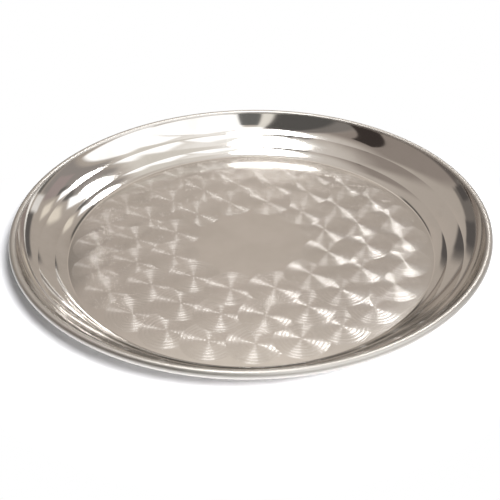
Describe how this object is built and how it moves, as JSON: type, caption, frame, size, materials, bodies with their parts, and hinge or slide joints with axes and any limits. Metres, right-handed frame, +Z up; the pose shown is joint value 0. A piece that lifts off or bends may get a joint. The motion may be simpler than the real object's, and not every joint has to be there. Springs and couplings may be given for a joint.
{
  "type": "round serving tray",
  "caption": "Round pressed-steel serving tray with a flat swirl-finished base, a stepped flaring wall and a rolled rim stiffened by a wire.",
  "frame": {"origin": "centre of the underside of the base", "axes": "+Z up along the tray's axis; X and Y lie in the base, and the picture looks along +Y"},
  "size_m": [0.4, 0.4, 0.0343],
  "materials": {
    "polished_steel": "stainless steel, mirror-polished wall and rim, overlapping swirl discs on the base",
    "wire_steel": "plain drawn steel wire"
  },
  "bodies": {
    "root": {"pressed_tray": "polished_steel", "rim_wire": "wire_steel"}
  },
  "joints": []
}
